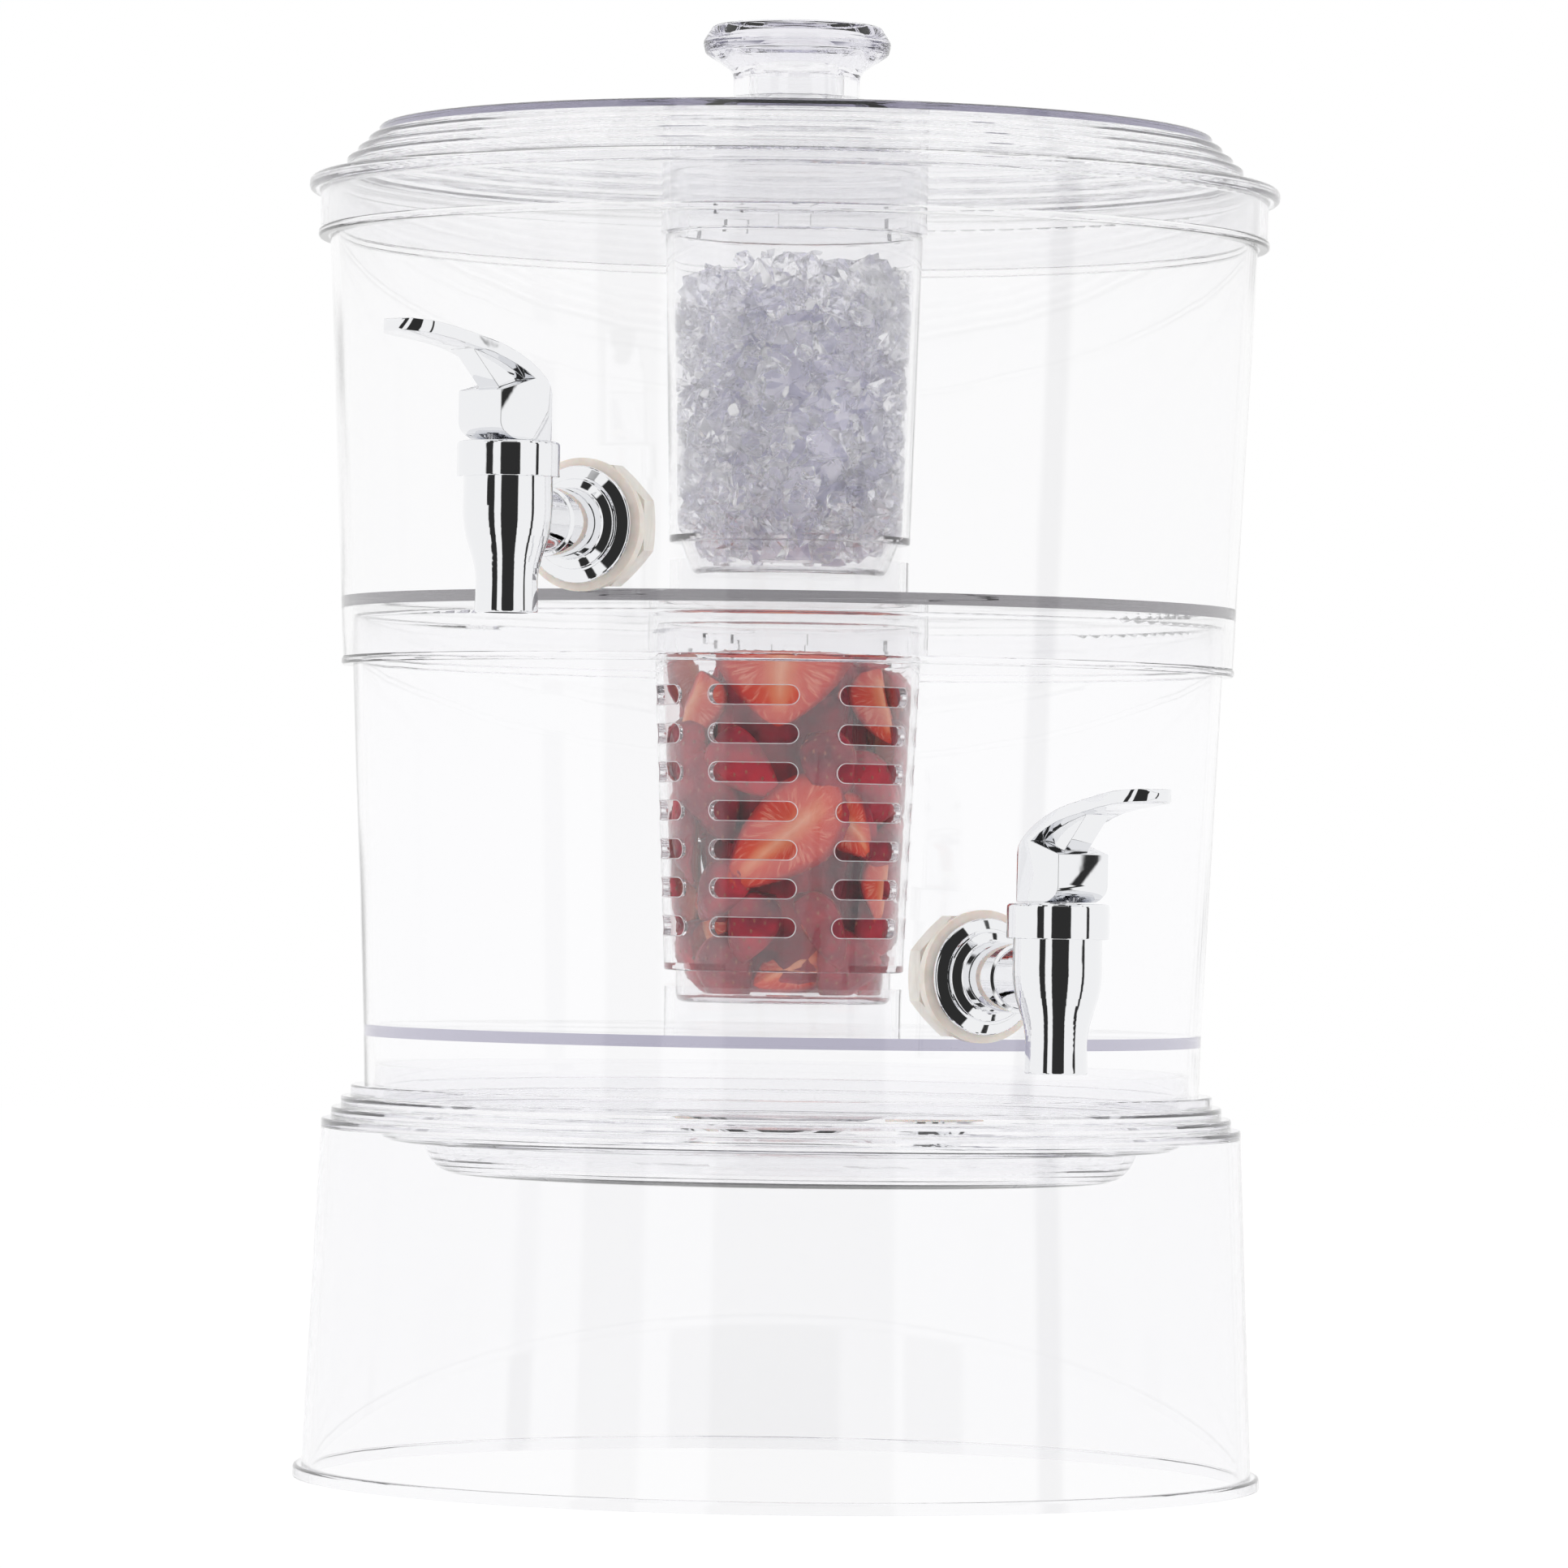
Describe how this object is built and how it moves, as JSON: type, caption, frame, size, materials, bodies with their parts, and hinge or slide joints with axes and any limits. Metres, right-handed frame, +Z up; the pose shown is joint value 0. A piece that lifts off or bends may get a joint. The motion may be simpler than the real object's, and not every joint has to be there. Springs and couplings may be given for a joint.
{
  "type": "stackable beverage dispenser",
  "caption": "Two stacked clear plastic drink tanks on a pedestal base, each with a lever tap, with a lid, an ice core and a fruit infuser.",
  "frame": {"origin": "centre of the base's underside, on the tank axis and on the surface it stands on", "axes": "+Z up along the tank axis, -Y towards the front, +X to the right seen from the front"},
  "size_m": [0.3106, 0.3654, 0.4651],
  "materials": {
    "clear_plastic": "polished clear moulding",
    "plated_tap": "mirror plating",
    "silicone": "translucent silicone",
    "nylon": "natural nylon",
    "steel": "turned steel",
    "ice": "crushed ice",
    "fruit": "cut strawberries"
  },
  "bodies": {
    "base": {"base": "clear_plastic"},
    "lower_tank": {"lower_tank": "clear_plastic", "lower_tap_body": "plated_tap", "lower_tap_outer_gasket": "silicone", "lower_tap_inner_gasket": "silicone", "lower_tap_lock_nut": "nylon", "lower_tap_bonnet": "plated_tap"},
    "upper_tank": {"upper_tank": "clear_plastic", "upper_tap_body": "plated_tap", "upper_tap_outer_gasket": "silicone", "upper_tap_inner_gasket": "silicone", "upper_tap_lock_nut": "nylon", "upper_tap_bonnet": "plated_tap"},
    "lid": {"lid": "clear_plastic", "lid_knob": "clear_plastic"},
    "ice_core": {"ice_core": "clear_plastic", "crushed_ice": "ice"},
    "infuser": {"infuser": "clear_plastic", "strawberries": "fruit"},
    "upper_valve": {"upper_tap_seat_cup": "silicone"},
    "upper_stem": {"upper_tap_stem": "steel", "upper_tap_pivot_pin": "steel"},
    "upper_handle": {"upper_tap_handle": "plated_tap"},
    "lower_valve": {"lower_tap_seat_cup": "silicone"},
    "lower_stem": {"lower_tap_stem": "steel", "lower_tap_pivot_pin": "steel"},
    "lower_handle": {"lower_tap_handle": "plated_tap"}
  },
  "joints": [
    {"name": "lower_tank_lift", "type": "slide", "parent": "base", "child": "lower_tank", "axis": [0, 0, 1], "range_m": [0, 0.06]},
    {"name": "upper_tank_lift", "type": "slide", "parent": "lower_tank", "child": "upper_tank", "axis": [0, 0, 1], "range_m": [0, 0.14]},
    {"name": "lid_lift", "type": "slide", "parent": "upper_tank", "child": "lid", "axis": [0, 0, 1], "range_m": [0, 0.14]},
    {"name": "ice_core_twist", "type": "hinge", "parent": "lid", "child": "ice_core", "pos_m": [0, 0, 0.3985], "axis": [0, 0, 1], "range_deg": [0, 30]},
    {"name": "infuser_twist", "type": "hinge", "parent": "upper_tank", "child": "infuser", "pos_m": [0, 0, 0.2623], "axis": [0, 0, 1], "range_deg": [0, 30]},
    {"name": "upper_valve_lift", "type": "slide", "parent": "upper_tank", "child": "upper_valve", "axis": [0, 0, 1], "range_m": [0, 0.003]},
    {"name": "upper_handle_swivel", "type": "hinge", "parent": "upper_valve", "child": "upper_stem", "pos_m": [-0.08481, -0.17389, 0.2995], "axis": [0, 0, 1], "range_deg": [-115, 155]},
    {"name": "upper_handle_press", "type": "hinge", "parent": "upper_stem", "child": "upper_handle", "pos_m": [-0.08481, -0.17389, 0.331], "axis": [0.6947, -0.7193, 0], "range_deg": [0, 40], "stiffness_Nm_per_rad": 0.12, "springref_deg": -28.65},
    {"name": "lower_valve_lift", "type": "slide", "parent": "lower_tank", "child": "lower_valve", "axis": [0, 0, 1], "range_m": [0, 0.003]},
    {"name": "lower_handle_swivel", "type": "hinge", "parent": "lower_valve", "child": "lower_stem", "pos_m": [0.08246, -0.16467, 0.1633], "axis": [0, 0, 1], "range_deg": [-144.5, 125.5]},
    {"name": "lower_handle_press", "type": "hinge", "parent": "lower_stem", "child": "lower_handle", "pos_m": [0.08246, -0.16467, 0.1948], "axis": [0.808, 0.5892, 0], "range_deg": [0, 40], "stiffness_Nm_per_rad": 0.12, "springref_deg": -28.65}
  ],
  "couplings": [
    {"joint": "upper_valve_lift", "follows": "upper_handle_press", "m_per_rad": 0.0042967},
    {"joint": "lower_valve_lift", "follows": "lower_handle_press", "m_per_rad": 0.0042967}
  ]
}
